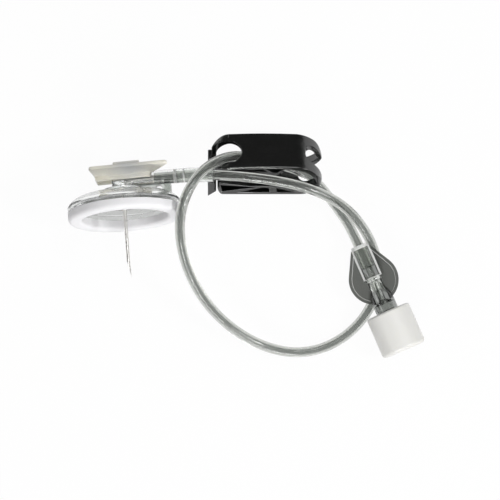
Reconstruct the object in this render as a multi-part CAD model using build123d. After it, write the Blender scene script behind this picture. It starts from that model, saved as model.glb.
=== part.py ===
from build123d import *
from math import sin, cos, tan, radians, pi
import os

# Winged right-angle infusion needle set, lying as it comes to rest on a table.
# Millimetres. +Z is up off the table, +X runs along the line from the needle
# head to the clamp, and the needle points along -Y. The origin is on the
# table under the middle of the needle head.

# Needle head, in its own frame: +Z from the skin up through the grip wings,
# +X along the tube barrel, the origin at the middle of the pad's skin face
head_centre_x = -3.75
head_centre_y = -0.3
head_lean = 12.4          # needle lifts off the table by this much
head_roll = 4.3           # head turned about the vertical
head_yaw = 5.0            # barrel turned up off the table

plate_radius = 14.2
plate_rim_height = 1.3
plate_flat_radius = 8.9
plate_flat_height = 5.6
plate_wall = 1.2
collar_radius = 5.3
collar_height = 2.2
collar_wall = 1.1

pad_radius = plate_radius
pad_hole_radius = pad_radius - 3.45
pad_thickness = 2.5
pad_edge_round = 0.9

fit_gap = 0.03            # between pieces that are pushed together and bonded
needle_radius = 0.45
needle_bore = 0.3
needle_length = 14.8      # below the pad's skin face
needle_bend = 3.0
needle_hook = 0.15        # sideways set of the curved tip
needle_hook_length = 3.6
bevel_length = 4.4

barrel_height = 10.0
barrel_radius = 1.8
barrel_start = -2.6
barrel_end = 13.2
socket_depth = 5.2
boss_radius = 2.7
web_thickness = 1.5
web_end = 12.0
web_window_radius = 0.9

wing_thickness = 0.85
wing_span = 8.5
wing_rise = 4.5           # dihedral angle
wing_left = -6.6
wing_tip_left = -7.6
wing_root_right = 7.2
wing_tip_right = 13.0
wing_saddle_wall = 0.9
wing_corner = 0.9
rib_count = 3
rib_pitch = 1.7
rib_middle = 1.9
rib_height = 0.8
rib_width = 0.6
rib_length = 6.6

sleeve_radius = 1.8
sleeve_length = 9.8
sleeve_bend = 3.6         # from the barrel to where the sleeve sags

tube_radius = 1.25
tube_bore = 0.65

# Pinch clamp, in its own frame: +X along the tube, +Z through the thumb face
clamp_centre_x = 30.9
clamp_centre_y = 13.6
clamp_turn = 51.0         # thumb face turned up off the table
clamp_width = 10.9
clamp_left = -14.2
clamp_right = 14.3
clamp_top = 5.75
clamp_shoulder = 5.5
clamp_bottom = -5.1
clamp_strap = 1.2
clamp_end_wall = 2.1
clamp_tooth_x = 2.6
clamp_tooth_top = 2.1
clamp_tooth_bottom = -1.35
clamp_hole_half = 3.6
clamp_hole_offset = 0.4   # towards the near side
clamp_hole_end = -5.7
clamp_slot_near = 2.4
clamp_slot_far = 3.0
clamp_web = 1.8
clamp_slot_start = 10.2
clamp_slot_under = 8.4
clamp_corner = 5.3
clamp_hinge_corner = 2.0
clamp_latch_far = 5.0     # the lower arm's two corners at the latch
clamp_latch_near = 1.6
clamp_sill = -0.6

# Luer connector, in its own frame: +Z towards the cap, +Y up off the wing plate
luer_x = 54.5
luer_y = -6.65
luer_heading = -66.4      # direction of the axis seen from above
luer_rise = 2.2
luer_socket_radius = 2.13
luer_socket_length = 9.15
luer_socket_depth = 6.0
luer_lead = 4.4           # straight tube in front of the socket
luer_ring_radius = 2.3
luer_neck_radius = 1.5
luer_radius = 2.87
luer_cone_start = 10.0
luer_cone_end = 14.0
luer_length = 25.0
luer_bore = 2.13
luer_bore_depth = 9.0
luer_taper = 0.06         # change of diameter per length
luer_lug_radius = 3.9
luer_lug_width = 3.2
luer_lug_length = 1.6
luer_passage = 0.6
paddle_radius = 6.25
paddle_centre = 9.3
paddle_top = 0.6
paddle_top_half = 2.4
paddle_thickness = 1.3
paddle_border = 0.75
paddle_recess = 0.22

cap_start = 17.9
cap_radius = 5.7
cap_length = 10.7
cap_bore = 4.15
cap_end_wall = 1.8
cap_edge_round = 0.9
cap_dish_radius = 4.2
cap_dish_depth = 0.5
cap_stem_gap = 0.06
cap_stem_bore = 0.9


def head_place():
    # the rim's upper corner and the table set the height of the head
    lean = radians(head_lean)
    rim_top = pad_thickness + plate_rim_height
    height = plate_radius * cos(lean) + rim_top * sin(lean)
    spot = Pos(head_centre_x, head_centre_y, height)
    return spot * Rot(Z=head_roll) * Rot(X=-(90 + head_lean)) * Rot(Z=-head_yaw)


def needle():
    # bent cannula: down through the boss, with a slight curve at the tip
    tip = -needle_length
    leg = barrel_end - socket_depth
    with BuildLine() as line:
        FilletPolyline(
            (leg, 0, barrel_height),
            (0, 0, barrel_height),
            (0, 0, tip + needle_hook_length),
            (needle_hook, 0, tip),
            radius=[needle_bend, needle_hook_length * 2],
        )
    path = line.wire()
    start = Plane(origin=(leg, 0, barrel_height), x_dir=(0, 1, 0), z_dir=(-1, 0, 0))
    ring = start * (Circle(needle_radius) - Circle(needle_bore))
    body = sweep(ring, path=path)
    # the bevel faces away from the barrel and leaves the point on its +X side
    slope = Plane(
        origin=(needle_hook + needle_radius, 0, tip),
        x_dir=(0, 1, 0),
        z_dir=(-bevel_length, 0, -2 * needle_radius),
    )
    cutter = slope * Box(4, 2 * bevel_length, 3, align=(Align.CENTER, Align.CENTER, Align.MIN))
    return body - cutter


def foam_pad():
    bottom = pad_edge_round
    with BuildSketch(Plane.XZ) as section:
        with BuildLine():
            Polyline(
                (pad_hole_radius, pad_thickness),
                (pad_hole_radius, bottom / 2),
                (pad_hole_radius + bottom / 2, 0),
                (pad_radius - bottom, 0),
            )
            JernArc((pad_radius - bottom, 0), (1, 0), bottom, 90)
            Polyline(
                (pad_radius, bottom),
                (pad_radius, pad_thickness),
                (pad_hole_radius, pad_thickness),
            )
        make_face()
    return revolve(section.sketch, axis=Axis.Z)


def dome_outline(offset, bottom):
    # half section of the dish: rim wall, rounded shoulder, flat top
    rim = plate_radius - offset
    rim_top = pad_thickness + plate_rim_height - offset * 0.4
    flat = plate_flat_radius - offset * 0.3
    top = plate_flat_height - offset
    with BuildSketch(Plane.XZ) as section:
        with BuildLine():
            Polyline((0, bottom), (rim, bottom), (rim, rim_top))
            TangentArc((rim, rim_top), (flat, top), tangent=(-0.55, 1))
            Polyline((flat, top), (0, top), (0, bottom))
        make_face()
    return section.sketch


def base_plate():
    outside = revolve(dome_outline(0, pad_thickness), axis=Axis.Z)
    inside = revolve(dome_outline(plate_wall, pad_thickness), axis=Axis.Z)
    # a flat ring inside the rim takes the pad
    seat = Pos(0, 0, pad_thickness) * (
        Cylinder(plate_radius, plate_wall, align=(Align.CENTER, Align.CENTER, Align.MIN))
        - Cylinder(pad_hole_radius, plate_wall, align=(Align.CENTER, Align.CENTER, Align.MIN))
    )
    dish = (outside - inside) + (seat & outside)
    collar = Pos(0, 0, plate_flat_height - plate_wall) * Cylinder(
        collar_radius, collar_height + plate_wall, align=(Align.CENTER, Align.CENTER, Align.MIN)
    )
    bore = Pos(0, 0, pad_thickness) * Cylinder(
        collar_radius - collar_wall, plate_flat_height, align=(Align.CENTER, Align.CENTER, Align.MIN)
    )
    # two fine steps run round the shoulder
    step = Pos(0, 0, plate_flat_height) * (
        Cylinder(plate_flat_radius - 0.2, 0.35, align=(Align.CENTER, Align.CENTER, Align.MIN))
        - Cylinder(plate_flat_radius - 1.0, 0.35, align=(Align.CENTER, Align.CENTER, Align.MIN))
    )
    return dish + collar + step - bore


def hub():
    plug_radius = collar_radius - collar_wall - fit_gap
    plug_bottom = plate_flat_height - plate_wall
    plug_top = plate_flat_height + collar_height
    plug = Pos(0, 0, plug_bottom) * Cylinder(
        plug_radius, plug_top - plug_bottom, align=(Align.CENTER, Align.CENTER, Align.MIN)
    )
    boss = Pos(0, 0, plug_bottom) * Cylinder(
        boss_radius, barrel_height - plug_bottom, align=(Align.CENTER, Align.CENTER, Align.MIN)
    )
    barrel_plane = Plane(origin=(barrel_start, 0, barrel_height), z_dir=(1, 0, 0))
    barrel = extrude(barrel_plane * Circle(barrel_radius), barrel_end - barrel_start)
    # the web stands on the collar and the plate's flat and carries the barrel
    web_bottom = plug_top + fit_gap
    foot = plate_flat_height + 0.35 + fit_gap
    with BuildSketch(Plane.XZ) as section:
        with BuildLine():
            Polyline(
                (0, web_bottom),
                (collar_radius + fit_gap, web_bottom),
                (collar_radius + fit_gap, foot),
                (web_end, foot),
                (web_end, barrel_height),
                (0, barrel_height),
                (0, web_bottom),
            )
        make_face()
    web = extrude(section.sketch, web_thickness / 2, both=True)
    window_x = (collar_radius + web_end) / 2 + 0.3
    window_z = (foot + barrel_height - barrel_radius) / 2
    window = Pos(window_x, 0, window_z) * Rot(X=90) * Cylinder(web_window_radius, 2 * web_thickness)
    # a thicker foot ends the web under the barrel's mouth
    end_foot = Pos(web_end - 0.8, 0, (foot + barrel_height - 1) / 2) * Box(
        1.6, 2.6, barrel_height - 1 - foot
    )
    body = plug + boss + barrel + web + end_foot - window
    socket_plane = Plane(origin=(barrel_end, 0, barrel_height), z_dir=(-1, 0, 0))
    socket = extrude(socket_plane * Circle(tube_radius + fit_gap), socket_depth)
    # clearance for the bent cannula inside
    with BuildLine() as line:
        FilletPolyline(
            (barrel_end - socket_depth, 0, barrel_height),
            (0, 0, barrel_height),
            (0, 0, 0),
            radius=[needle_bend],
        )
    start = Plane(
        origin=(barrel_end - socket_depth, 0, barrel_height), x_dir=(0, 1, 0), z_dir=(-1, 0, 0)
    )
    channel = sweep(start * Circle(needle_radius + fit_gap), path=line.wire())
    return body - socket - channel


def wing_outline(side):
    # seen from above; side is +1 for the far wing and -1 for the near one
    root = barrel_radius * 0.4
    with BuildSketch() as outline:
        with BuildLine():
            Polyline(
                (wing_left, side * root),
                (wing_tip_left, side * wing_span),
                (wing_tip_right, side * wing_span),
                (wing_root_right, side * root),
                (wing_left, side * root),
            )
        make_face()
        corners = outline.vertices().sort_by(Axis.Y)
        tips = corners[:2] if side < 0 else corners[-2:]
        fillet(tips, wing_corner)
    return outline.sketch


def wings():
    # a saddle over the barrel with a soft wing on each side
    saddle_plane = Plane(origin=(wing_left, 0, barrel_height), z_dir=(1, 0, 0))
    outer = barrel_radius + fit_gap + wing_saddle_wall
    length = wing_root_right - wing_left
    saddle = extrude(saddle_plane * Circle(outer), length)
    body = saddle
    root_height = barrel_height + barrel_radius * 0.55
    for side in (-1, 1):
        plate = extrude(wing_outline(side), wing_thickness)
        for index in range(rib_count):
            rib_y = side * (wing_span - 0.9 - index * rib_pitch)
            plate += Pos(rib_middle, rib_y, wing_thickness) * Box(rib_length, rib_width, 2 * rib_height)
        body += Pos(0, 0, root_height) * Rot(X=side * wing_rise) * plate
    # only the upper part of the saddle is kept, and it clears boss, barrel and web
    below = Pos(0, 0, barrel_height) * Box(
        60, 60, 20, align=(Align.CENTER, Align.CENTER, Align.MAX)
    )
    bore = extrude(saddle_plane * Circle(barrel_radius + fit_gap), length + 20)
    return body - below - bore


def tube_points(clamp):
    # the first points lie on the barrel's axis and the last on the connector's
    head = head_place()
    start = head * Pos(barrel_end - socket_depth, 0, barrel_height)
    second = head * Pos(barrel_end + sleeve_bend, 0, barrel_height)
    luer = luer_place()
    before_last = luer * Pos(0, 0, -luer_lead)
    last = luer * Pos(0, 0, luer_socket_depth)
    middle = [
        (19.4, 10.9, 15.6),
        (26.2, 10.45, 16.3),
        (32.8, 9.65, 16.0),
        (39.2, 8.4, 14.7),
        (45.2, 6.4, 12.6),
        (51.0, 3.1, 9.6),
        (55.3, -1.6, 5.9),
        (58.2, -6.9, 2.6),
        (59.6, -12.6, 1.3),
        (59.2, -18.3, 1.3),
        (56.3, -24.4, 1.3),
        (51.3, -29.5, 1.3),
        (45.2, -32.7, 1.3),
        (38.6, -33.7, 1.9),
        (32.0, -32.4, 3.2),
        (25.9, -29.6, 5.4),
        (20.2, -25.3, 8.4),
        (15.4, -19.8, 12.2),
        (11.9, -13.2, 16.4),
        (10.0, -6.3, 20.3),
        (9.8, 0.2, 22.8),
        (11.2, 5.6, 22.8),
        (13.8, 10.2, 21.8),
        (16.9, 13.2, 19.3),
        (19.8, 14.85, 15.5),
        (23.0, 15.75, 11.7),
    ]
    # through the clamp, in its own frame: over the sill, between the teeth and
    # out through the slot in the hinge
    in_clamp = [
        (-4.2, 0.7, 2.2),
        (clamp_tooth_x - 1.2, 0.4, 0.5),
        (6.8, -0.2, -1.0),
        (10.5, -0.5, -3.1),
        (13.6, -1.5, -6.0),
    ]
    after = [
        (47.7, 4.7, 3.5),
        (50.8, 0.4, 4.2),
    ]
    middle += [(clamp * Pos(*p)).position for p in in_clamp] + after
    return [start.position, second.position] + [Vector(p) for p in middle] + [
        before_last.position,
        last.position,
    ]


def bend_radii(points):
    # each bend is as large as its two runs allow
    radii = []
    for a, b, c in zip(points, points[1:], points[2:]):
        first, second = b - a, c - b
        turn = radians(first.get_angle(second))
        radii.append(0.45 * min(first.length, second.length) / tan(turn / 2))
    return radii


def tubing(points, radii):
    with BuildLine() as line:
        FilletPolyline(*points, radius=radii)
    path = line.wire()
    start = Plane(origin=points[0], z_dir=points[1] - points[0])
    outer = sweep(start * Circle(tube_radius), path=path)
    inner = sweep(start * Circle(tube_bore), path=path)
    return outer - inner, path.length


def strain_relief(points, radii):
    # a sleeve over the tube's first bend, butted against the barrel
    rest = points[2] - points[1]
    bent = [points[0], points[1], points[1] + rest * ((sleeve_length - sleeve_bend) / rest.length)]
    with BuildLine() as line:
        FilletPolyline(*bent, radius=[radii[0]])
    path = line.wire()
    start = Plane(origin=bent[0], z_dir=bent[1] - bent[0])
    outer = sweep(start * Circle(sleeve_radius), path=path)
    inner = sweep(start * Circle(tube_radius + fit_gap), path=path)
    in_barrel = head_place() * Pos(barrel_end, 0, barrel_height) * Box(
        2 * barrel_end, 6 * sleeve_radius, 6 * sleeve_radius,
        align=(Align.MAX, Align.CENTER, Align.CENTER),
    )
    return outer - inner - in_barrel


def clamp_profile():
    # side view of the one-piece clamp, in X and Z
    lower_arm_left = clamp_left + clamp_end_wall + 0.3
    inner_left = clamp_left + clamp_end_wall
    with BuildSketch(Plane.XZ) as section:
        with BuildLine():
            # outside: end wall, curve up, arched thumb face, hinge, lower arm
            Line((clamp_left, clamp_bottom - 0.7), (clamp_left, 0.5))
            ThreePointArc((clamp_left, 0.5), (-12.4, 3.9), (-8.5, clamp_shoulder))
            ThreePointArc((-8.5, clamp_shoulder), (0, clamp_top), (8.0, clamp_shoulder))
            ThreePointArc((8.0, clamp_shoulder), (12.9, 2.4), (clamp_right, -1.3))
            ThreePointArc((clamp_right, -1.3), (12.3, -3.9), (8.6, clamp_bottom))
            Polyline((8.6, clamp_bottom), (lower_arm_left + 1.0, clamp_bottom))
            ThreePointArc(
                (lower_arm_left + 1.0, clamp_bottom),
                (lower_arm_left + 0.2, clamp_bottom + 0.7),
                (lower_arm_left, clamp_bottom + 1.6),
            )
            # inside: lower arm's upper edge, tooth, hinge, upper tooth, end wall
            Polyline(
                (lower_arm_left, clamp_bottom + 1.6),
                (lower_arm_left, -0.9),
                (lower_arm_left + 0.8, -0.6),
                (-4.0, -1.9),
                (clamp_tooth_x - 1.0, -1.9),
                (clamp_tooth_x - 0.4, clamp_tooth_bottom),
                (clamp_tooth_x + 0.4, clamp_tooth_bottom),
                (clamp_tooth_x + 1.0, -2.1),
                (8.2, clamp_bottom + clamp_strap),
            )
            ThreePointArc(
                (8.2, clamp_bottom + clamp_strap),
                (clamp_right - clamp_strap - 1.9, -3.0),
                (clamp_right - clamp_strap, -1.3),
            )
            ThreePointArc(
                (clamp_right - clamp_strap, -1.3),
                (11.8, 1.8),
                (7.8, clamp_shoulder - clamp_strap),
            )
            Polyline(
                (7.8, clamp_shoulder - clamp_strap),
                (4.6, 4.2),
                (clamp_tooth_x + 0.5, clamp_tooth_top),
                (clamp_tooth_x - 0.5, clamp_tooth_top),
                (-5.0, clamp_top - clamp_strap + 0.15),
                (-8.3, clamp_shoulder - clamp_strap),
            )
            ThreePointArc(
                (-8.3, clamp_shoulder - clamp_strap), (-11.0, 2.9), (inner_left, 0.6)
            )
            Polyline(
                (inner_left, 0.6),
                (inner_left, -0.1),
                (inner_left - 0.45, -0.7),
                (inner_left - 0.45, -2.9),
                (inner_left, -3.6),
                (inner_left, -3.9),
                (clamp_left, clamp_bottom - 0.7),
            )
        make_face()
    return section.sketch


def side_pocket(corners):
    # cut from both sides, leaving the web in the middle
    with BuildSketch(Plane.XZ) as section:
        with BuildLine():
            Polyline(*corners, corners[0])
        make_face()
    block = extrude(section.sketch, clamp_width, both=True)
    core = Box(60, clamp_web, 60)
    return block - core


def pinch_clamp():
    body = extrude(clamp_profile(), clamp_width / 2, both=True)
    pockets = [
        [(-3.6, 4.3), (-0.4, 4.6), (0.6, 3.6)],
        [(0.5, 4.8), (4.8, 4.7), (3.2, 3.3), (2.3, 3.2)],
        [(-11.0, -1.6), (-2.2, -2.4), (-10.6, -3.9)],
        [(-6.4, -4.3), (1.2, -4.3), (1.0, -2.6), (-0.8, -2.6)],
        [(2.9, -2.7), (3.2, -4.3), (7.4, -4.3)],
    ]
    for corners in pockets:
        body -= side_pocket(corners)
    # tube hole through the thumb face's rounded left end and the top of the end wall
    hole_centre = clamp_hole_end - clamp_hole_half
    open_end = 1.5 * clamp_left
    hole = Pos((hole_centre + open_end) / 2, -clamp_hole_offset, 0) * Box(
        hole_centre - open_end, 2 * clamp_hole_half, 20,
        align=(Align.CENTER, Align.CENTER, Align.MIN),
    )
    body -= hole
    body -= Pos(hole_centre, -clamp_hole_offset, 0) * Cylinder(
        clamp_hole_half, 20, align=(Align.CENTER, Align.CENTER, Align.MIN)
    )
    # tube slot that splits the hinge into two straps, longer underneath
    slot_middle = (clamp_slot_far - clamp_slot_near) / 2
    for start, side in ((clamp_slot_start, Align.MIN), (clamp_slot_under, Align.MAX)):
        slot = Pos(start, slot_middle, 0) * Box(
            20, clamp_slot_far + clamp_slot_near, 20, align=(Align.MIN, Align.CENTER, side)
        )
        corners = slot.edges().filter_by(Axis.Z).sort_by(Axis.X)[:2]
        body -= fillet(corners, clamp_slot_near - 0.1)
    # seen from above, the thumb face is rounded at both ends and the lower arm
    # at the latch, while the end wall keeps its full width
    high = (Align.CENTER, Align.CENTER, Align.MIN)
    low = (Align.MIN, Align.CENTER, Align.MAX)
    face = Pos(0, 0, clamp_sill) * Box(2 * clamp_right, clamp_width, 20, align=high)
    face_ends = face.edges().filter_by(Axis.Z).sort_by(Axis.X)
    face = fillet(face_ends[:2], clamp_corner)
    face_ends = face.edges().filter_by(Axis.Z).sort_by(Axis.X)
    face = fillet(face_ends[-2:], clamp_hinge_corner)
    arm_start = clamp_left + clamp_end_wall + 0.15
    arm = Pos(arm_start, 0, clamp_sill) * Box(clamp_right - arm_start, clamp_width, 20, align=low)
    for corner, radius in (
        ((-1, 1), clamp_latch_far), ((-1, -1), clamp_latch_near),
        ((1, 1), clamp_hinge_corner), ((1, -1), clamp_hinge_corner),
    ):
        upright = arm.edges().filter_by(Axis.Z)
        upright = upright.sort_by(lambda e: corner[0] * e.center().X + corner[1] * e.center().Y)
        arm = fillet(upright[-1], radius)
    wall = Pos(clamp_left, 0, clamp_sill) * Box(arm_start - clamp_left, clamp_width, 20, align=low)
    return body & (face + arm + wall)


def clamp_place(body):
    # turned thumb face up and set down on its lower far edge
    turn = Rot(X=-(90 - clamp_turn))
    return Pos(clamp_centre_x, clamp_centre_y, -(turn * body).bounding_box().min.Z) * turn


def luer_place():
    # the cap's open rim rests on the table and sets the height
    rise = radians(luer_rise)
    heading = radians(luer_heading)
    height = cap_radius * cos(rise) - cap_start * sin(rise)
    along = (cos(heading) * cos(rise), sin(heading) * cos(rise), sin(rise))
    across = (-sin(heading), cos(heading), 0)
    return Location(Plane(origin=(luer_x, luer_y, height), x_dir=across, z_dir=along))


def luer_connector():
    mouth = luer_length
    bottom = mouth - luer_bore_depth
    bore_end = luer_bore - luer_bore_depth * luer_taper / 2
    with BuildSketch(Plane.XZ) as section:
        with BuildLine():
            Polyline(
                (luer_passage, luer_socket_depth),
                (tube_radius + fit_gap, luer_socket_depth),
                (tube_radius + fit_gap, 0),
                (luer_socket_radius, 0),
                (luer_socket_radius, luer_socket_length - 0.5),
                (luer_ring_radius, luer_socket_length - 0.3),
                (luer_ring_radius, luer_socket_length + 0.3),
                (luer_neck_radius, luer_cone_start),
                (luer_radius, luer_cone_end),
                (luer_radius, mouth),
                (luer_bore, mouth),
                (bore_end, bottom),
                (luer_passage, bottom - 1.2),
                (luer_passage, luer_socket_depth),
            )
        make_face()
    body = revolve(section.sketch, axis=Axis.Z)
    lug = Pos(0, 0, mouth - luer_lug_length / 2) * (
        Box(2 * luer_lug_radius, luer_lug_width, luer_lug_length)
        & Cylinder(luer_lug_radius, luer_lug_length)
    )
    lug -= Pos(0, 0, mouth - luer_lug_length / 2) * Cylinder(luer_radius - 0.3, 2 * luer_lug_length)
    return body + lug + paddle()


def paddle():
    # teardrop finger plate, thin inside a raised border
    def teardrop(inset):
        round_end = Pos(0, paddle_centre) * Circle(paddle_radius - inset)
        narrow = Pos(0, paddle_top + inset + 0.4) * Rectangle(2 * (paddle_top_half - inset * 0.6), 0.8)
        return make_hull((round_end + narrow).edges())

    flat = Plane(origin=(0, 0, 0), x_dir=(1, 0, 0), z_dir=(0, -1, 0))
    plate = extrude(flat * teardrop(0), paddle_thickness / 2, both=True)
    dished = teardrop(paddle_border)
    for side in (-1, 1):
        top = Plane(
            origin=(0, side * (paddle_thickness / 2 - paddle_recess), 0),
            x_dir=(1, 0, 0),
            z_dir=(0, -1, 0),
        )
        plate -= extrude(top * dished, -side * paddle_recess)
    clear = revolve(
        Plane.XZ * Pos(0, 0) * Rectangle(luer_neck_radius - 0.2, luer_length, align=(Align.MIN, Align.MIN)),
        axis=Axis.Z,
    )
    return plate - clear


def luer_cap():
    bottom = cap_start + cap_length
    stem_tip = luer_bore - cap_stem_gap
    stem_length = luer_bore_depth - 1.6
    stem_start = luer_length - stem_length
    stem_foot = stem_tip
    stem_end = stem_tip - stem_length * luer_taper / 2
    wall = bottom - cap_end_wall
    with BuildSketch(Plane.XZ) as section:
        with BuildLine():
            Polyline(
                (cap_stem_bore, stem_start),
                (stem_end, stem_start),
                (stem_foot, luer_length),
                (stem_foot, wall),
                (cap_bore, wall),
                (cap_bore, cap_start),
                (cap_radius - 0.25, cap_start),
                (cap_radius, cap_start + 0.25),
                (cap_radius, bottom - cap_edge_round),
                (cap_radius - 0.26 * cap_edge_round, bottom - 0.26 * cap_edge_round),
                (cap_radius - cap_edge_round, bottom),
                (cap_dish_radius, bottom),
                (cap_dish_radius - 0.2, bottom - cap_dish_depth),
                (0, bottom - cap_dish_depth),
                (0, bottom - cap_dish_depth - 0.6),
                (cap_stem_bore, bottom - cap_dish_depth - 0.6),
                (cap_stem_bore, stem_start),
            )
        make_face()
    return revolve(section.sketch, axis=Axis.Z)


def build():
    head = head_place()
    luer = luer_place()
    clamp_body = pinch_clamp()
    clamp = clamp_place(clamp_body)
    points = tube_points(clamp)
    radii = bend_radii(points)
    tube, tube_length = tubing(points, radii)
    print("tube radii", [round(r, 1) for r in radii])
    section = pi * (tube_radius**2 - tube_bore**2)
    print("tube length", round(tube_length, 1), "volume ratio",
          round(tube.volume / (section * tube_length), 4))
    needle_head = {
        "needle": head * needle(),
        "foam_pad": head * foam_pad(),
        "base_plate": head * base_plate(),
        "hub": head * hub(),
        "wings": head * wings(),
        "strain_relief": strain_relief(points, radii),
    }
    boxes = [shape.bounding_box() for shape in needle_head.values()]
    middle_x = (min(box.min.X for box in boxes) + max(box.max.X for box in boxes)) / 2
    middle_y = (min(box.min.Y for box in boxes) + max(box.max.Y for box in boxes)) / 2
    to_origin = Pos(-middle_x, -middle_y, 0)
    print("moved to origin by", round(-middle_x, 3), round(-middle_y, 3))
    for point in points:
        moved = (to_origin * Pos(point)).position
        print("point", round(moved.X, 3), round(moved.Y, 3), round(moved.Z, 3))
    rest = {
        "tubing": tube,
        "pinch_clamp": clamp * clamp_body,
        "luer_connector": luer * luer_connector(),
        "luer_cap": luer * luer_cap(),
    }
    return {name: to_origin * shape for name, shape in {**needle_head, **rest}.items()}


os.makedirs("parts", exist_ok=True)
for name, shape in build().items():
    export_step(shape, f"parts/{name}.step")
    size = shape.bounding_box()
    print(name, [round(v, 2) for v in (*size.min, *size.max)], round(shape.volume, 2))
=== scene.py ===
import math

import bmesh
import bpy
from mathutils import Matrix, Vector


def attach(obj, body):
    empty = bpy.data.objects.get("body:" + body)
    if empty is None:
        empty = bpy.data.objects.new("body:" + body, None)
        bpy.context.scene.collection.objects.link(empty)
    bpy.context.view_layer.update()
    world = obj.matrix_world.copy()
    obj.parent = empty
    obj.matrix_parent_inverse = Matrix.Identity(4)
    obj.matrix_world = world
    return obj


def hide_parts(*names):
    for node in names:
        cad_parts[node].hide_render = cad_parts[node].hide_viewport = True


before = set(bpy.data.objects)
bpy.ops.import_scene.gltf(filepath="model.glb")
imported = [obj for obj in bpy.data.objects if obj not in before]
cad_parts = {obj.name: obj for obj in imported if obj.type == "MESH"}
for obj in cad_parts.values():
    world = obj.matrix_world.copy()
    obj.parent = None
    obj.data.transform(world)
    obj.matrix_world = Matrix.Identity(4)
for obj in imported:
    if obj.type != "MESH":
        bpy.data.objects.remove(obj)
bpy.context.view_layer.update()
mm = 0.001
print("frame loaded")


# Camera: straight down, the needle head at the left and the cap at the lower right
cameraSetup = {
    "above": (0.02703, -0.00777),
    "height": 1.6,
    "viewWidth": 0.125,
    "viewLevel": 0.008,  # height off the floor where the width is measured
    "sensor": 36,
    "clip": (0.05, 10),
}


def addCamera():
    data = bpy.data.cameras.new("camera")
    data.sensor_width = cameraSetup["sensor"]
    reach = cameraSetup["height"] - cameraSetup["viewLevel"]
    data.lens = data.sensor_width * reach / cameraSetup["viewWidth"]
    data.clip_start, data.clip_end = cameraSetup["clip"]
    camera = bpy.data.objects.new("camera", data)
    camera.location = (*cameraSetup["above"], cameraSetup["height"])
    bpy.context.scene.collection.objects.link(camera)
    bpy.context.scene.camera = camera


addCamera()
print("camera placed")


# Small tools for materials
noiseSpan = (0.35, 0.65)  # where nearly all of a noise texture's values lie


def newMaterial(name, tint, roughness):
    material = bpy.data.materials.new(name)
    material.use_nodes = True
    nodes = material.node_tree.nodes
    shader = nodes["Principled BSDF"]
    shader.inputs["Base Color"].default_value = (*tint, 1)
    shader.inputs["Roughness"].default_value = roughness
    return material, nodes, material.node_tree.links, shader


def noiseNode(nodes, links, scale, detail, stretch=(1, 1, 1)):
    place = nodes.new("ShaderNodeTexCoord")
    mapping = nodes.new("ShaderNodeMapping")
    mapping.inputs["Scale"].default_value = stretch
    noise = nodes.new("ShaderNodeTexNoise")
    noise.inputs["Scale"].default_value = scale
    noise.inputs["Detail"].default_value = detail
    links.new(place.outputs["Object"], mapping.inputs["Vector"])
    links.new(mapping.outputs["Vector"], noise.inputs["Vector"])
    return noise.outputs["Fac"]


def addBump(nodes, links, shader, height, strength, distance):
    bump = nodes.new("ShaderNodeBump")
    bump.inputs["Strength"].default_value = strength
    bump.inputs["Distance"].default_value = distance * mm
    links.new(height, bump.inputs["Height"])
    links.new(bump.outputs["Normal"], shader.inputs["Normal"])


def spread(nodes, links, factor, low, high):
    # a noise factor made to run from low to high
    span = nodes.new("ShaderNodeMapRange")
    span.inputs["From Min"].default_value = noiseSpan[0]
    span.inputs["From Max"].default_value = noiseSpan[1]
    span.inputs["To Min"].default_value = low
    span.inputs["To Max"].default_value = high
    links.new(factor, span.inputs["Value"])
    return span.outputs["Result"]


def addGrain(nodes, links, shader, grain):
    # grain is the noise's scale and detail, then the bump's strength and depth in millimetres
    scale, detail, strength, depth = grain
    addBump(nodes, links, shader, noiseNode(nodes, links, scale, detail), strength, depth)


def addHaze(nodes, links, shader, roughness, haze):
    # haze is the noise's scale and detail, then the least and greatest share of the roughness
    scale, detail, least, most = haze
    cloud = noiseNode(nodes, links, scale, detail)
    uneven = spread(nodes, links, cloud, roughness * least, roughness * most)
    links.new(uneven, shader.inputs["Roughness"])


def combined(nodes, links, operation, one, two):
    # two factors, the second of them a number or the output of another node
    step = nodes.new("ShaderNodeMath")
    step.operation = operation
    links.new(one, step.inputs[0])
    if isinstance(two, float):
        step.inputs[1].default_value = two
    else:
        links.new(two, step.inputs[1])
    return step.outputs[0]


def mixColours(nodes, links, factor, one, two):
    # each colour is a tint, or the output of another node
    mix = nodes.new("ShaderNodeMix")
    mix.data_type = "RGBA"
    for socket, colour in ((mix.inputs[6], one), (mix.inputs[7], two)):
        if isinstance(colour, tuple):
            socket.default_value = (*colour, 1)
        else:
            links.new(colour, socket)
    links.new(factor, mix.inputs[0])
    return mix.outputs[2]


# Small tools for meshes
merge = 0.000001  # corners nearer than this are one
cadMerge = 0.000002
cadFlat = 1.5  # degrees between the triangles of a modelled flat face


def objectFrom(name, mesh):
    piece = bpy.data.objects.new(name, mesh)
    bpy.context.scene.collection.objects.link(piece)
    return piece


def roundEdges(shape, width, segments=2, sharperThan=28):
    limit = math.radians(sharperThan)
    joined = [e for e in shape.edges if len(e.link_faces) == 2]
    edges = [e for e in joined if e.calc_face_angle(0) > limit]
    bmesh.ops.bevel(
        shape, geom=edges, offset=width * mm, offset_type="OFFSET", segments=segments,
        profile=0.5, affect="EDGES", material=-1, clamp_overlap=False, loop_slide=True,
    )


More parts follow.
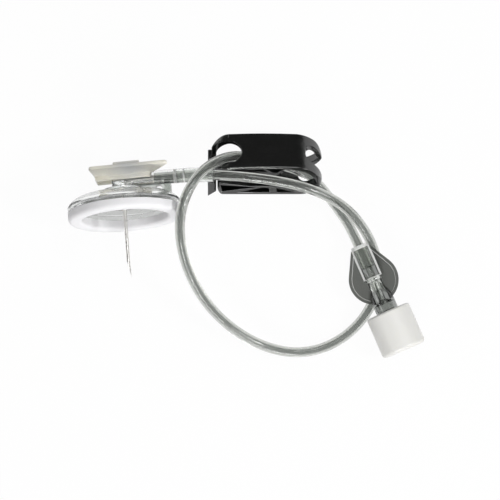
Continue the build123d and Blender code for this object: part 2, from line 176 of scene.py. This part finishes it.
def finishMesh(name, shape, place=None, smoothBelow=35):
    bmesh.ops.remove_doubles(shape, verts=shape.verts, dist=merge)
    bmesh.ops.recalc_face_normals(shape, faces=shape.faces)
    if place:
        bmesh.ops.transform(shape, matrix=place, verts=shape.verts)
    mesh = bpy.data.meshes.new(name)
    shape.to_mesh(mesh)
    shape.free()
    mesh.polygons.foreach_set("use_smooth", [True] * len(mesh.polygons))
    mesh.set_sharp_from_angle(angle=math.radians(smoothBelow))
    piece = objectFrom(name, mesh)
    # flat faces stay flat beside their rounded edges
    normals = piece.modifiers.new("normals", "WEIGHTED_NORMAL")
    normals.keep_sharp = True
    return piece


def spunShape(outline, steps):
    # outline is a closed list of (radius, height), turned about Z
    shape = bmesh.new()
    corners = [shape.verts.new((r * mm, 0, h * mm)) for r, h in outline]
    edges = [shape.edges.new((a, b)) for a, b in zip(corners, corners[1:] + corners[:1])]
    bmesh.ops.spin(
        shape, geom=corners + edges, cent=(0, 0, 0), axis=(0, 0, 1),
        angle=math.tau, steps=steps, use_merge=True,
    )
    bmesh.ops.remove_doubles(shape, verts=shape.verts, dist=merge)
    return shape


def nodeCopy(name):
    # a merged copy of a modelled node, its coplanar triangles joined
    shape = bmesh.new()
    shape.from_mesh(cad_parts[name].data)
    bmesh.ops.remove_doubles(shape, verts=shape.verts, dist=cadMerge)
    bmesh.ops.dissolve_limit(
        shape, angle_limit=math.radians(cadFlat), verts=shape.verts, edges=shape.edges,
    )
    return shape


def settle(piece, node, materials):
    for material in materials:
        piece.data.materials.append(material)
    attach(piece, "cap" if node == "luer_cap" else "set")
    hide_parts(node)


# Frames of the needle head and the luer connector, as the part's source turns them
def turned(place, *turns):
    frameMatrix = Matrix.Translation([value * mm for value in place])
    for axis, angle in turns:
        frameMatrix = frameMatrix @ Matrix.Rotation(math.radians(angle), 4, axis)
    return frameMatrix


headPlace = turned((-3.969, -0.322, 14.685), ("Z", 4.3), ("X", -102.4), ("Z", -5))
luerPlace = turned((54.281, -6.672, 5.009), ("Z", 23.6), ("X", 87.8))

touchGap = 0.04  # millimetres left where two pieces touch, so no two faces lie in one place


# Tube: the line it follows, as control points from the hub to the connector
tube = {
    "diameter": 2.5,
    "bore": 1.3,
    "sides": 64,
    "spanSteps": 9,
    "sharpAbove": 50,
    "tint": (0.62, 0.635, 0.605),
    # the bore's walls are a darker copy of the vinyl: painted shade inside the tube
    "boreShadeTint": (0.34, 0.355, 0.345),
    "roughness": 0.12,
    "bending": 1.42,
    "clearness": 0.93,
    "haze": (240, 4, 0.6, 1.7),
    "grain": (60, 1, 0.04, 0.03),
    "line": [
        (0.00324, 0.01016, 0.01322),
        (0.01196, 0.01098, 0.01397),
        (0.01918, 0.01088, 0.01560),
        (0.02598, 0.01043, 0.01630),
        (0.03258, 0.00963, 0.01600),
        (0.03898, 0.00838, 0.01470),
        (0.04498, 0.00638, 0.01260),
        (0.05078, 0.00308, 0.00960),
        (0.05508, -0.00162, 0.00590),
        (0.05798, -0.00692, 0.00260),
        (0.05938, -0.01262, 0.00130),
        (0.05898, -0.01832, 0.00130),
        (0.05608, -0.02442, 0.00130),
        (0.05108, -0.02952, 0.00130),
        (0.04498, -0.03272, 0.00130),
        (0.03838, -0.03372, 0.00190),
        (0.03178, -0.03242, 0.00320),
        (0.02568, -0.02962, 0.00540),
        (0.01998, -0.02532, 0.00840),
        (0.01518, -0.01982, 0.01220),
        (0.01168, -0.01322, 0.01640),
        (0.00978, -0.00632, 0.02030),
        (0.00958, 0.00018, 0.02280),
        (0.01098, 0.00558, 0.02280),
        (0.01358, 0.01018, 0.02180),
        (0.01668, 0.01318, 0.01930),
        (0.01958, 0.01483, 0.01550),
        (0.02278, 0.01573, 0.01170),
        (0.02648, 0.01551, 0.00921),
        (0.03208, 0.01420, 0.00807),
        (0.03748, 0.01279, 0.00729),
        (0.04118, 0.01124, 0.00584),
        (0.04428, 0.00864, 0.00422),
        (0.04748, 0.00468, 0.00350),
        (0.05058, 0.00038, 0.00420),
        (0.05252, -0.00264, 0.00484),
        (0.05668, -0.01217, 0.00524),
    ],
}


def tubeMesh(name, radius):
    data = bpy.data.curves.new(name, "CURVE")
    data.dimensions = "3D"
    data.resolution_u = tube["spanSteps"]
    data.bevel_depth = radius * mm
    data.bevel_resolution = tube["sides"] // 4 - 1
    spline = data.splines.new("NURBS")
    spline.points.add(len(tube["line"]) - 1)
    for point, place in zip(spline.points, tube["line"]):
        point.co = (*place, 1)
    spline.order_u = 3
    spline.use_endpoint_u = True
    curve = objectFrom(name, data)
    graph = bpy.context.evaluated_depsgraph_get()
    mesh = bpy.data.meshes.new_from_object(curve.evaluated_get(graph))
    bpy.data.objects.remove(curve)
    return mesh


def clearVinyl(name, tint, roughness):
    material, nodes, links, shader = newMaterial(name, tint, roughness)
    shader.inputs["IOR"].default_value = tube["bending"]
    shader.inputs["Transmission Weight"].default_value = tube["clearness"]
    addHaze(nodes, links, shader, roughness, tube["haze"])
    addGrain(nodes, links, shader, tube["grain"])
    return material


def makeTube():
    centreLine = [tuple(v.co) for v in tubeMesh("tubeLine", 0).vertices]
    shape = bmesh.new()
    shape.from_mesh(tubeMesh("tubeOutside", tube["diameter"] / 2))
    outsideFaces = len(shape.faces)
    shape.from_mesh(tubeMesh("tubeBore", tube["bore"] / 2))
    shape.faces.ensure_lookup_table()
    boreFaces = shape.faces[outsideFaces:]
    bmesh.ops.reverse_faces(shape, faces=boreFaces)
    # the bore takes the painted shade
    for face in boreFaces:
        face.material_index = 1
    openEdges = [e for e in shape.edges if e.is_boundary]
    for middle in (Vector(centreLine[0]), Vector(centreLine[-1])):
        reach = tube["diameter"] * mm
        rim = [e for e in openEdges if (e.verts[0].co - middle).length < reach]
        bmesh.ops.bridge_loops(shape, edges=rim)
    mesh = bpy.data.meshes.new("tube")
    shape.to_mesh(mesh)
    shape.free()
    mesh.polygons.foreach_set("use_smooth", [True] * len(mesh.polygons))
    mesh.set_sharp_from_angle(angle=math.radians(tube["sharpAbove"]))
    piece = objectFrom("tube", mesh)
    materials = [
        clearVinyl("clearVinyl", tube["tint"], tube["roughness"]),
        clearVinyl("boreShadedVinyl", tube["boreShadeTint"], tube["roughness"]),
    ]
    settle(piece, "tubing", materials)


# Foam pad under the base
pad = {
    "outline": [
        (10.75, 2.5 - touchGap), (10.78, 0.9), (10.95, 0.42), (11.3, 0.12), (11.8, 0.0),
        (13.1, 0.0), (13.62, 0.1), (13.98, 0.38), (14.16, 0.8), (14.2, 1.2),
        (14.2, 2.5 - touchGap),
    ],
    "steps": 120,
    "tint": (0.885, 0.88, 0.895),
    "roughness": 0.8,
    "softness": 0.2,
    "softReach": (0.001, 0.001, 0.001),
    "cellSize": 0.3,
    "cellStrength": 0.35,
    "cellDepth": 0.12,
}


def softFoam():
    material, nodes, links, shader = newMaterial("softFoam", pad["tint"], pad["roughness"])
    shader.inputs["Subsurface Weight"].default_value = pad["softness"]
    shader.inputs["Subsurface Radius"].default_value = pad["softReach"]
    place = nodes.new("ShaderNodeTexCoord")
    cells = nodes.new("ShaderNodeTexVoronoi")
    cells.inputs["Scale"].default_value = 1 / (pad["cellSize"] * mm)
    links.new(place.outputs["Object"], cells.inputs["Vector"])
    distance = cells.outputs["Distance"]
    addBump(nodes, links, shader, distance, pad["cellStrength"], pad["cellDepth"])
    return material


def makePad():
    piece = finishMesh("pad", spunShape(pad["outline"], pad["steps"]), headPlace)
    settle(piece, "foam_pad", [softFoam()])


makePad()
print("foam pad made")


# Clear moulded pieces: the dish, the hub with its barrel, and the connector
clear = {
    "bending": 1.49,
    "haze": (180, 4, 0.5, 1.8),
    "grain": (130, 2, 0.08, 0.1),
    "rimFrostAndHighlightTint": (0.93, 0.94, 0.92),
    "rimRoughness": 0.35,
    "rimClearness": 0.3,
    "rimGrain": (900, 3, 0.2, 0.05),
}


def clearPlastic(name, tint, roughness, bending=clear["bending"]):
    material, nodes, links, shader = newMaterial(name, tint, roughness)
    shader.inputs["IOR"].default_value = bending
    shader.inputs["Transmission Weight"].default_value = 1
    addHaze(nodes, links, shader, roughness, clear["haze"])
    addGrain(nodes, links, shader, clear["grain"])
    return material


def frostAndHighlightRim():
    # a whitish frosted finish; on the connector's lip, ring edges, plate steps and fillets it
    # paints highlight lines
    tint, roughness = clear["rimFrostAndHighlightTint"], clear["rimRoughness"]
    material, nodes, links, shader = newMaterial("frostAndHighlightRim", tint, roughness)
    shader.inputs["IOR"].default_value = clear["bending"]
    shader.inputs["Transmission Weight"].default_value = clear["rimClearness"]
    addGrain(nodes, links, shader, clear["rimGrain"])
    return material


def arcPoints(centre, radius, first, last, steps):
    # points of an arc, its angles in degrees
    turn = math.radians(last - first) / steps
    turns = [math.radians(first) + turn * step for step in range(steps + 1)]
    x, y = centre
    return [(x + radius * math.cos(t), y + radius * math.sin(t)) for t in turns]


def addShape(shape, other, place=None):
    # puts a second shell into the same mesh
    if place:
        bmesh.ops.transform(other, matrix=place, verts=other.verts)
    mesh = bpy.data.meshes.new("shell")
    other.to_mesh(mesh)
    other.free()
    shape.from_mesh(mesh)
    bpy.data.meshes.remove(mesh)


holeSides = 16
slabFlat = 0.02  # radians between the triangles that fill a slab's outline


def slab(outline, low, high, hole=None):
    # a flat outline in X and Z, made a plate between two values of Y, with a round hole
    shape = bmesh.new()
    loops = [outline]
    if hole:
        loops.append(arcPoints(hole[:2], hole[2], 0, 360 - 360 / holeSides, holeSides - 1))
    edges = []
    for loop in loops:
        corners = [shape.verts.new((x * mm, low * mm, z * mm)) for x, z in loop]
        edges += [shape.edges.new((a, b)) for a, b in zip(corners, corners[1:] + corners[:1])]
    bmesh.ops.triangle_fill(shape, edges=edges, use_beauty=True)
    bmesh.ops.dissolve_limit(shape, angle_limit=slabFlat, verts=[], edges=shape.edges)
    pushed = bmesh.ops.extrude_face_region(shape, geom=shape.faces[:])
    moved = [item for item in pushed["geom"] if isinstance(item, bmesh.types.BMVert)]
    bmesh.ops.translate(shape, vec=(0, (high - low) * mm, 0), verts=moved)
    bmesh.ops.recalc_face_normals(shape, faces=shape.faces)
    return shape


# Dish: rim, domed shoulder with two fine steps, flat top and collar
dish = {
    "outline": [(4.2, 4.4), (8.54, 4.4)]
    + arcPoints((10.276, 1.822), 3.109, 123.9, 41, 12)
    + [
        (12.4, 3.7), (10.85, 3.7), (10.75, 3.6), (10.75, 2.6), (10.85, 2.5), (14.08, 2.5),
        (14.17, 2.53), (14.2, 2.62),
    ]
    + arcPoints((10.566, 1.801), 4.148, 28.8, 113.6, 18)
    + [
        (8.75, 5.63), (8.7, 5.7), (8.7, 5.87), (8.62, 5.95), (7.98, 5.95), (7.9, 5.87), (7.9, 5.7),
        (7.82, 5.6), (5.45, 5.6), (5.33, 5.65), (5.3, 5.75), (5.3, 7.65), (5.26, 7.75), (5.15, 7.8),
        (4.35, 7.8), (4.24, 7.75), (4.2, 7.65),
    ],
    "steps": 120,
    "tint": (0.94, 0.95, 0.945),
    "roughness": 0.04,
    "bending": 1.32,
    "insideShadeTint": (0.36, 0.365, 0.36),
    "insideRoughness": 0.25,
    "insideTop": 5.0,  # the underside is lower than this
    "insideRadius": 12.45,
}


def makeDish():
    shape = spunShape(dish["outline"], dish["steps"])
    for face in shape.faces:
        middle = face.calc_center_median() / mm
        # the underside over the skin is left matt by the mould, and tinted darker as painted shade
        # inside the dish
        if middle.z < dish["insideTop"] and middle.xy.length < dish["insideRadius"]:
            face.material_index = 1
    piece = finishMesh("dish", shape, headPlace)
    bending = dish["bending"]
    materials = [
        clearPlastic("clearDish", dish["tint"], dish["roughness"], bending),
        clearPlastic("mattShadedDish", dish["insideShadeTint"], dish["insideRoughness"], bending),
    ]
    settle(piece, "base_plate", materials)


# Hub: a plug in the collar, a boss, the barrel over it and the web that carries it
hub = {
    "boss": [(0.48, 4.4), (4.17, 4.4), (4.17, 7.8), (2.7, 7.8), (2.7, 9.6), (0.48, 9.6)],
    "bossSteps": 72,
    "barrel": [
        (0.0, -2.6), (1.8, -2.6), (1.8, 12.85), (1.8, 13.2), (1.28, 13.2),
        (1.28, 8.0 - touchGap), (0.48, 8.0 - touchGap), (0.48, 0.6), (0.0, 0.6),
    ],
    "barrelSteps": 64,
    "barrelEnd": 12.85,  # frosted beyond this
    "barrelHeight": 10.0,
    "web": [(2.4, 7.83), (5.33, 7.83), (5.33, 5.98), (12.0, 5.98), (12.0, 8.6), (2.4, 8.6)],
    "webHalf": 0.75,
    "window": (8.95, 7.09, 0.9),
    "foot": [(10.4, 5.98), (12.0, 5.98), (12.0, 8.6), (10.4, 8.6)],
    "footHalf": 1.3,
    "tint": (0.92, 0.93, 0.925),
    # the web and foot are a greyer copy of the clear plastic: painted shade
    "webShadeTint": (0.6, 0.625, 0.6),
    "roughness": 0.05,
    "webRoughness": 0.3,
    "edge": 0.14,
    "sharperThan": 40,
}


def makeHub():
    shape = spunShape(hub["barrel"], hub["barrelSteps"])
    for face in shape.faces:
        if face.calc_center_median().z > hub["barrelEnd"] * mm:
            face.material_index = 1
    lay = turned((0, 0, hub["barrelHeight"]), ("Y", 90))
    bmesh.ops.transform(shape, matrix=lay, verts=shape.verts)
    addShape(shape, spunShape(hub["boss"], hub["bossSteps"]))
    web = slab(hub["web"], -hub["webHalf"], hub["webHalf"], hub["window"])
    foot = slab(hub["foot"], -hub["footHalf"], hub["footHalf"])
    # the web and the foot take the painted shade
    for shell in (web, foot):
        for face in shell.faces:
            face.material_index = 2
        addShape(shape, shell)
    roundEdges(shape, hub["edge"], sharperThan=hub["sharperThan"])
    piece = finishMesh("hubBarrel", shape, headPlace)
    materials = [
        clearPlastic("clearHub", hub["tint"], hub["roughness"]),
        frostAndHighlightRim(),
        clearPlastic("mattShadedWeb", hub["webShadeTint"], hub["webRoughness"]),
    ]
    settle(piece, "hub", materials)


# Luer connector: socket for the tube, neck, cone and threaded mouth, with the finger plate
connector = {
    "body": [
        (0.6, 6.0 + touchGap), (1.28, 6.0 + touchGap), (1.28, 0.0), (2.13, 0.0), (2.13, 0.9),
        (2.13, 5.8), (2.13, 8.65), (2.3, 8.85), (2.3, 9.45), (1.5, 10.0), (2.25, 12.19),
        (2.87, 14.0), (2.87, 25.0), (2.13, 25.0), (1.86, 16.0), (0.6, 14.8),
    ],
    "steps": 72,
    "lug": [(2.6, 23.4), (3.9, 23.4), (3.9, 24.98), (2.6, 24.98)],
    "lugAngle": 48.4,
    "lugSteps": 8,
    "plateStart": 1.4,  # half of the plate's width left out for the tube
    "plateCorner": (2.4, 0.6),
    "plateCentre": 9.3,
    "plateRadius": 6.25,
    "plateTangent": -28.4,
    "plateSteps": 28,
    "plateApart": 0.05,  # least step between the arc and the plate's inner edge
    "plateHalf": 0.65,
    "plateSide": 0.95,  # a face of the plate that looks sideways by more than this is a broad one
    "border": 0.75,
    "recess": 0.22,
    "step": 0.12,
    "fillet": 0.3,
    "filletDepth": 0.05,  # how far it goes into the plate and the socket
    "filletStart": 0.6,
    "filletLength": 8.2,
    "socketRadius": 2.13,
    "lip": 0.9,  # frosted end of the socket, whitened as a painted highlight
    "shadedThick": [(5.8, 8.65), (12.2, 25.0)],  # solid stretches, tinted darker as painted shade
    # frosted ring edges, whitened as painted highlight lines
    "ringEdges": (8.75, 9.5),
    "ringReach": 0.1,
    "outside": {"frosted": 1.4, "shadedThick": 2.0},  # radii beyond which a face takes these looks
    "tint": (0.74, 0.76, 0.73),
    # painted shade for the solid stretches
    "paintedShadeTint": (0.27, 0.28, 0.27),
    "roughness": 0.06,
    "etchedTint": (0.13, 0.135, 0.125),
    "etchedRoughness": 0.42,
    "etchedClearness": 0.85,
    "etchedGrain": (1900, 4, 0.5, 0.08),
    "edge": 0.12,
}


def etchedPlastic():
    tint, roughness = connector["etchedTint"], connector["etchedRoughness"]
    material, nodes, links, shader = newMaterial("etchedPlastic", tint, roughness)
    shader.inputs["IOR"].default_value = clear["bending"]
    shader.inputs["Transmission Weight"].default_value = connector["etchedClearness"]
    addGrain(nodes, links, shader, connector["etchedGrain"])
    return material


def fingerPlate(side):
    # one half of the teardrop, with its face sunk inside a border on both sides
    start, (cornerX, cornerZ) = connector["plateStart"], connector["plateCorner"]
    centre, radius = connector["plateCentre"], connector["plateRadius"]
    arc = arcPoints((0, centre), radius, connector["plateTangent"], 90, connector["plateSteps"])
    last = centre + math.sqrt(radius ** 2 - start ** 2)
    outline = [(start, cornerZ), (cornerX, cornerZ)]
    outline += [point for point in arc if point[0] > start + connector["plateApart"]]
    outline.append((start, last))
    half = connector["plateHalf"]
    shape = slab([(side * x, z) for x, z in outline], -half, half)
    broad = [f for f in shape.faces if abs(f.normal.y) > connector["plateSide"]]
    for face in broad:
        face.material_index = 1
    bmesh.ops.inset_individual(shape, faces=broad, thickness=connector["border"] * mm)
    step = bmesh.ops.inset_individual(
        shape, faces=broad,
        thickness=connector["step"] * mm, depth=-connector["recess"] * mm,
    )
    for face in step["faces"]:
        face.material_index = 2
    return shape


def sideFillet(side, above):
    # the moulded fillet where the finger plate leaves the socket, frosted as a painted highlight
    # line along the join
    reach, depth, start = connector["fillet"], connector["filletDepth"], connector["filletStart"]
    foot, radius = connector["plateHalf"], connector["socketRadius"]
    inner = math.sqrt(radius ** 2 - (foot + reach) ** 2)
    outline = [(inner - depth, foot - depth), (inner, foot + reach), (radius + reach, foot - depth)]
    shape = bmesh.new()
    corners = [shape.verts.new((side * x * mm, above * y * mm, start * mm)) for x, y in outline]
    pushed = bmesh.ops.extrude_face_region(shape, geom=[shape.faces.new(corners)])
    moved = [item for item in pushed["geom"] if isinstance(item, bmesh.types.BMVert)]
    bmesh.ops.translate(shape, vec=(0, 0, connector["filletLength"] * mm), verts=moved)
    bmesh.ops.recalc_face_normals(shape, faces=shape.faces)
    for face in shape.faces:
        face.material_index = 2
    return shape


def threadLug():
    lug = bmesh.new()
    corners = [lug.verts.new((r * mm, 0, h * mm)) for r, h in connector["lug"]]
    bmesh.ops.spin(
        lug, geom=[lug.faces.new(corners)], cent=(0, 0, 0), axis=(0, 0, 1),
        angle=math.radians(connector["lugAngle"]), steps=connector["lugSteps"],
    )
    bmesh.ops.recalc_face_normals(lug, faces=lug.faces)
    return lug


def connectorLook(radius, height):
    # which of the connector's materials a face of its body takes
    onLip = height < connector["lip"]
    onRing = any(abs(height - edge) < connector["ringReach"] for edge in connector["ringEdges"])
    # the lip and ring edges take the frosted rim as a painted highlight
    if (onLip or onRing) and radius > connector["outside"]["frosted"]:
        return 2
    # the solid stretches take the painted shade
    onShadedThick = any(low < height < high for low, high in connector["shadedThick"])
    return 3 if onShadedThick and radius > connector["outside"]["shadedThick"] else 0


def makeConnector():
    shape = spunShape(connector["body"], connector["steps"])
    roundEdges(shape, connector["edge"])
    for face in shape.faces:
        middle = face.calc_center_median() / mm
        face.material_index = connectorLook(middle.xy.length, middle.z)
    for side, turn in ((1, 0), (-1, 180)):
        addShape(shape, threadLug(), turned((0, 0, 0), ("Z", turn - connector["lugAngle"] / 2)))
        addShape(shape, fingerPlate(side))
        for above in (1, -1):
            addShape(shape, sideFillet(side, above))
    piece = finishMesh("connector", shape, luerPlace)
    materials = [
        clearPlastic("clearConnector", connector["tint"], connector["roughness"]),
        etchedPlastic(),
        frostAndHighlightRim(),
        clearPlastic("shadedThickConnector", connector["paintedShadeTint"], connector["roughness"]),
    ]
    settle(piece, "luer_connector", materials)


makeDish()
makeHub()
makeConnector()
print("clear pieces made")


# Sleeve over the tube's first bend
sleeve = {
    "tint": (0.96, 0.98, 0.96),
    "roughness": 0.1,
    "edge": 0.12,
    "sharperThan": 50,
    "bands": [(13.0, 13.6), (15.3, 15.65)],  # frosted rings, by their place along the barrel
}


def makeSleeve():
    shape = nodeCopy("strain_relief")
    roundEdges(shape, sleeve["edge"], sharperThan=sleeve["sharperThan"])
    toHead = headPlace.inverted()
    bmesh.ops.transform(shape, matrix=toHead, verts=shape.verts)
    for band in sleeve["bands"]:
        for along in band:
            bmesh.ops.bisect_plane(
                shape, geom=shape.verts[:] + shape.edges[:] + shape.faces[:],
                plane_co=(along * mm, 0, 0), plane_no=(1, 0, 0),
            )
    for face in shape.faces:
        along = face.calc_center_median().x / mm
        if any(first < along < last for first, last in sleeve["bands"]):
            face.material_index = 1
    piece = finishMesh("sleeve", shape, headPlace)
    materials = [clearVinyl("sleeveVinyl", sleeve["tint"], sleeve["roughness"]), frostAndHighlightRim()]
    settle(piece, "strain_relief", materials)


makeSleeve()
print("sleeve made")


# Soft grip wings
wing = {
    "tint": (1.0, 0.96, 0.83),
    "deepTint": (0.99, 0.955, 0.85),
    "paintedShadeTint": (0.66, 0.675, 0.69),
    "shadeMiddle": (-0.0032, 0.0128, 0.016),  # painted shade: greyer over the wings' middle, above the barrel
    "shadeReach": (0.008, 0.0042, 0.03),
    "roughness": 0.4,
    "cloud": (160, 3),
    "softness": 0.3,
    "softReach": (0.002, 0.002, 0.0018),
    "clearness": 0.12,
    "grain": (1100, 4, 0.2, 0.1),
    "edge": 0.2,
}


def frostedVinyl():
    material, nodes, links, shader = newMaterial("frostedVinyl", wing["tint"], wing["roughness"])
    cloud = spread(nodes, links, noiseNode(nodes, links, *wing["cloud"]), 0, 1)
    place = nodes.new("ShaderNodeTexCoord")
    centred = nodes.new("ShaderNodeMapping")
    centred.inputs["Location"].default_value = [
        -middle / reach for middle, reach in zip(wing["shadeMiddle"], wing["shadeReach"])
    ]
    centred.inputs["Scale"].default_value = [1 / reach for reach in wing["shadeReach"]]
    # painted shade: a grey patch over the middle of the wings
    patch = nodes.new("ShaderNodeTexGradient")
    patch.gradient_type = "SPHERICAL"
    links.new(place.outputs["Object"], centred.inputs["Vector"])
    links.new(centred.outputs["Vector"], patch.inputs["Vector"])
    cream = mixColours(nodes, links, cloud, wing["tint"], wing["deepTint"])
    colour = mixColours(nodes, links, patch.outputs["Fac"], cream, wing["paintedShadeTint"])
    links.new(colour, shader.inputs["Base Color"])
    shader.inputs["Subsurface Weight"].default_value = wing["softness"]
    shader.inputs["Subsurface Radius"].default_value = wing["softReach"]
    shader.inputs["Transmission Weight"].default_value = wing["clearness"]
    addGrain(nodes, links, shader, wing["grain"])
    return material


def makeWings():
    shape = nodeCopy("wings")
    roundEdges(shape, wing["edge"])
    piece = finishMesh("gripWings", shape)
    settle(piece, "wings", [frostedVinyl()])


makeWings()
print("wings made")


# Pinch clamp
clamp = {
    "tint": (0.0045, 0.005, 0.0045),
    "roughness": 0.15,
    "bending": 1.8,
    "haze": (300, 5, 0.75, 1.3),
    "grain": (1600, 4, 0.25, 0.06),
    "edge": 0.16,
}


def blackPlastic():
    material, nodes, links, shader = newMaterial("blackPlastic", clamp["tint"], clamp["roughness"])
    shader.inputs["IOR"].default_value = clamp["bending"]
    addHaze(nodes, links, shader, clamp["roughness"], clamp["haze"])
    addGrain(nodes, links, shader, clamp["grain"])
    return material


def makeClamp():
    shape = nodeCopy("pinch_clamp")
    roundEdges(shape, clamp["edge"])
    piece = finishMesh("pinchClamp", shape)
    settle(piece, "pinch_clamp", [blackPlastic()])


makeClamp()
print("clamp made")


# Cap over the connector's mouth, with the stem that plugs it
cap = {
    "outline": [
        (0.9, 17.7), (1.0, 17.6), (1.75, 17.6), (1.85, 17.7), (2.07, 25.0), (2.07, 26.6),
        (2.27, 26.8), (3.95, 26.8), (4.15, 26.6), (4.15, 18.2), (4.45, 17.9), (5.1, 17.9),
        (5.4, 18.0), (5.62, 18.22), (5.7, 18.5), (5.7, 27.7), (5.63, 28.04), (5.44, 28.34),
        (5.14, 28.53), (4.8, 28.6), (4.45, 28.6), (4.2, 28.45), (4.08, 28.2), (3.85, 28.1),
        (0.0, 28.1), (0.0, 27.5), (0.9, 27.5),
    ],
    "steps": 96,
    "tint": (0.77, 0.765, 0.735),
    "roughness": 0.38,
    "softness": 0.15,
    "softReach": (0.0012, 0.0012, 0.001),
    "haze": (200, 4, 0.85, 1.2),
    "grain": (700, 3, 0.1, 0.06),
}


def whitePlastic():
    material, nodes, links, shader = newMaterial("whitePlastic", cap["tint"], cap["roughness"])
    shader.inputs["Subsurface Weight"].default_value = cap["softness"]
    shader.inputs["Subsurface Radius"].default_value = cap["softReach"]
    addHaze(nodes, links, shader, cap["roughness"], cap["haze"])
    addGrain(nodes, links, shader, cap["grain"])
    return material


def makeCap():
    piece = finishMesh("cap", spunShape(cap["outline"], cap["steps"]), luerPlace)
    settle(piece, "luer_cap", [whitePlastic()])


makeCap()
print("cap made")

makeTube()
print("tube laid with its clamp, connector and cap")


# Bent needle
needle = {
    "tint": (0.97, 0.955, 0.925),
    "roughness": 0.36,
    "grindScale": 900,
    "grindStretch": (6, 1, 6),
    "grindDetail": 4,
    "grindStrength": 0.1,
    "grindDepth": 0.03,
    "uneven": (0.6, 1.6),
}


def needleSteel():
    material, nodes, links, shader = newMaterial("needleSteel", needle["tint"], needle["roughness"])
    shader.inputs["Metallic"].default_value = 1
    grind = noiseNode(
        nodes, links, needle["grindScale"], needle["grindDetail"], needle["grindStretch"],
    )
    least, most = [needle["roughness"] * share for share in needle["uneven"]]
    links.new(spread(nodes, links, grind, least, most), shader.inputs["Roughness"])
    addBump(nodes, links, shader, grind, needle["grindStrength"], needle["grindDepth"])
    return material


def dressNeedle():
    steel = needleSteel()
    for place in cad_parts["needle"].material_slots:
        place.material = steel


dressNeedle()
print("needle dressed")


# Floor and soft light
studio = {
    "floorHalf": 0.9,
    "floorLevel": -0.0001,
    "floorTint": (0.82, 0.82, 0.82),
    "floorRoughness": 0.9,
    "floorGlow": 0.96,  # of white, for what the camera and the clear pieces see
    "world": 0.21,
    "reflected": 0.08,  # the world as glossy faces show it
    "seenThrough": 0.85,  # the world as the clear pieces pass it on
    "aim": (0.025, -0.005, 0),
    "panels": [  # place, size, power
        ("backPanel", (0.15, 0.35, 0.7), 0.3, 1.2),
        ("leftPanel", (-0.5, -0.1, 0.45), 0.2, 0.4),
        ("rightPanel", (0.5, -0.1, 0.55), 0.16, 2.5),
        ("frontPanel", (0.05, -0.55, 0.35), 0.25, 2.0),
    ],
}


def paleFloor():
    material, nodes, links, shader = newMaterial(
        "paleFloor", studio["floorTint"], studio["floorRoughness"],
    )
    path = nodes.new("ShaderNodeLightPath").outputs
    seen = combined(nodes, links, "MAXIMUM", path["Is Camera Ray"], path["Is Glossy Ray"])
    seen = combined(nodes, links, "MAXIMUM", seen, path["Is Transmission Ray"])
    seen = combined(nodes, links, "MULTIPLY", seen, studio["floorGlow"])
    glow = nodes.new("ShaderNodeEmission")
    glow.inputs["Strength"].default_value = 1
    both = nodes.new("ShaderNodeMixShader")
    links.new(seen, both.inputs["Fac"])
    links.new(shader.outputs["BSDF"], both.inputs[1])
    links.new(glow.outputs["Emission"], both.inputs[2])
    links.new(both.outputs["Shader"], nodes["Material Output"].inputs["Surface"])
    return material


def layFloor():
    shape = bmesh.new()
    bmesh.ops.create_grid(shape, x_segments=1, y_segments=1, size=studio["floorHalf"])
    middle = (*cameraSetup["above"], studio["floorLevel"])
    bmesh.ops.translate(shape, vec=middle, verts=shape.verts)
    mesh = bpy.data.meshes.new("floor")
    shape.to_mesh(mesh)
    shape.free()
    mesh.materials.append(paleFloor())
    objectFrom("floor", mesh)


def hangPanels():
    for name, place, size, power in studio["panels"]:
        lamp = bpy.data.lights.new(name, "AREA")
        lamp.size, lamp.energy = size, power
        holder = bpy.data.objects.new(name, lamp)
        holder.location = place
        aim = Vector(studio["aim"]) - Vector(place)
        holder.rotation_euler = aim.to_track_quat("-Z", "Y").to_euler()
        bpy.context.scene.collection.objects.link(holder)


def lightWorld():
    world = bpy.data.worlds.new("studio")
    world.use_nodes = True
    nodes, links = world.node_tree.nodes, world.node_tree.links
    nodes["Background"].inputs["Color"].default_value = (1, 1, 1, 1)
    path = nodes.new("ShaderNodeLightPath")
    reflected = nodes.new("ShaderNodeMapRange")
    reflected.inputs["To Min"].default_value = studio["world"]
    reflected.inputs["To Max"].default_value = studio["reflected"]
    strength = nodes.new("ShaderNodeMapRange")
    strength.inputs["To Max"].default_value = studio["seenThrough"]
    links.new(path.outputs["Is Glossy Ray"], reflected.inputs["Value"])
    links.new(reflected.outputs["Result"], strength.inputs["To Min"])
    links.new(path.outputs["Is Transmission Ray"], strength.inputs["Value"])
    links.new(strength.outputs["Result"], nodes["Background"].inputs["Strength"])
    bpy.context.scene.world = world


layFloor()
hangPanels()
lightWorld()
bpy.context.scene.view_settings.view_transform = "Standard"
print("studio lit")
